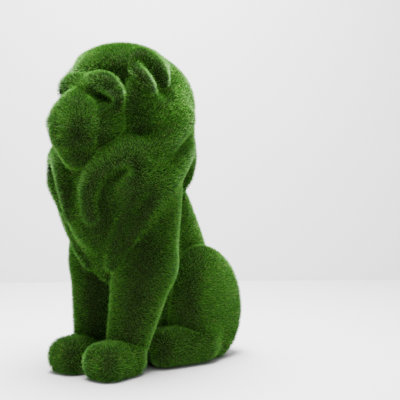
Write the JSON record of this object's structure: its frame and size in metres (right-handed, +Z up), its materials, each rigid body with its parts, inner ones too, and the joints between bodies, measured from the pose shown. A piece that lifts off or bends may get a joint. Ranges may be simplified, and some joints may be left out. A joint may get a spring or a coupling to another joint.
{
  "type": "artificial topiary lion",
  "caption": "Large sitting lion figure covered all over in clipped artificial turf, with a lobed mane, ring ears, a blunt muzzle and a tail curled round one side",
  "frame": {"origin": "under the middle of the overall box, on the ground the paws and rump rest on", "axes": "+Z up, the lion faces -Y, its left side is +X"},
  "size_m": [0.7438, 1.0626, 1.4999],
  "materials": {
    "turf": "artificial grass, short soft pile in mixed greens with a little straw-coloured thatch at the roots"
  },
  "bodies": {
    "root": {"turf_body": "turf"}
  },
  "joints": []
}
